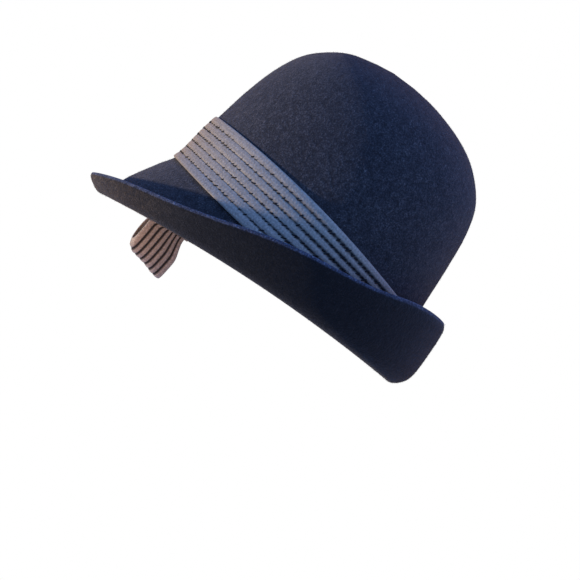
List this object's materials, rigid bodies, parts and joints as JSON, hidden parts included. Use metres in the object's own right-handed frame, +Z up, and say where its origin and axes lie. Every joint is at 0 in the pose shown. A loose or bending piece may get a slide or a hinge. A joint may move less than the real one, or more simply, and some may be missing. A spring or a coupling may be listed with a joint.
{
  "type": "cloche hat",
  "caption": "Dark felt cloche hat with a turned-up brim, a pleated ribbon band round the crown and a ribbon bow beside the brim.",
  "frame": {"origin": "centre of the head opening, level with the lowest line of the brim's fold, where the hat is held as a head holds it", "axes": "+Z up the crown, -Y to the front of the hat, +X to the wearer's left, away from the bow"},
  "size_m": [0.2267, 0.267, 0.2115],
  "materials": {
    "felt": "matt, finely mottled near-black navy wool felt with a short nap",
    "ribbon": "slate grey woven ribbon in narrow lapped folds, oversewn with near-black thread"
  },
  "bodies": {
    "root": {"felt_body": "felt", "ribbon_band": "ribbon", "bow_lower_loop": "ribbon", "bow_upper_loop": "ribbon", "bow_knot": "ribbon"}
  },
  "joints": []
}
